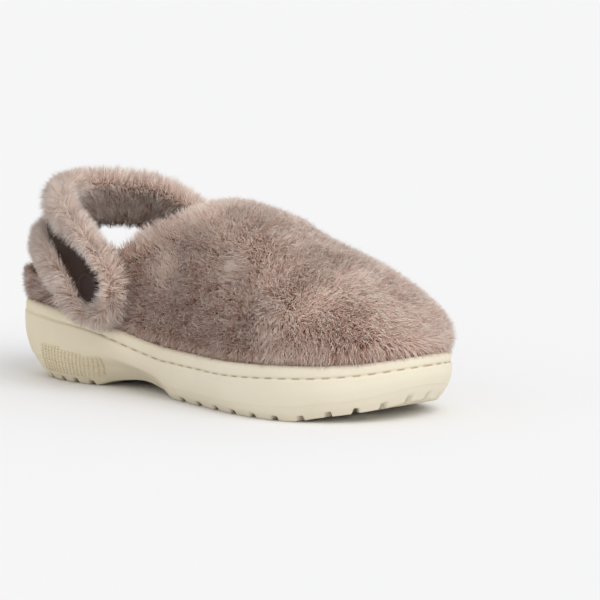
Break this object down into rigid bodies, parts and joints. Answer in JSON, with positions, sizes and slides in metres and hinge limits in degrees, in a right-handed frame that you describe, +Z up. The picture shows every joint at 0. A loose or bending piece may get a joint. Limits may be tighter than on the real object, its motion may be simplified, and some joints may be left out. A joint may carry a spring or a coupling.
{
  "type": "clog",
  "caption": "Fur-covered clog with a closed toe, a hollow upper on a moulded foam sole and a heel strap on rivets.",
  "frame": {"origin": "on the floor under the middle of the shoe's box", "axes": "+X towards the toe, +Y towards the inner side of the right foot, +Z up"},
  "size_m": [0.268, 0.1097, 0.1077],
  "materials": {
    "foam": "matt cream moulded foam",
    "fleece": "short taupe fleece",
    "fur": "deep taupe fur, light tips over brown roots",
    "strap_rubber": "satin dark brown",
    "rivet": "satin dark brown"
  },
  "bodies": {
    "root": {"sole": "foam", "insole": "fleece", "upper": "fur", "strap_fur": "fur", "heel_strap": "strap_rubber", "rivet_lateral": "rivet", "rivet_medial": "rivet"}
  },
  "joints": []
}
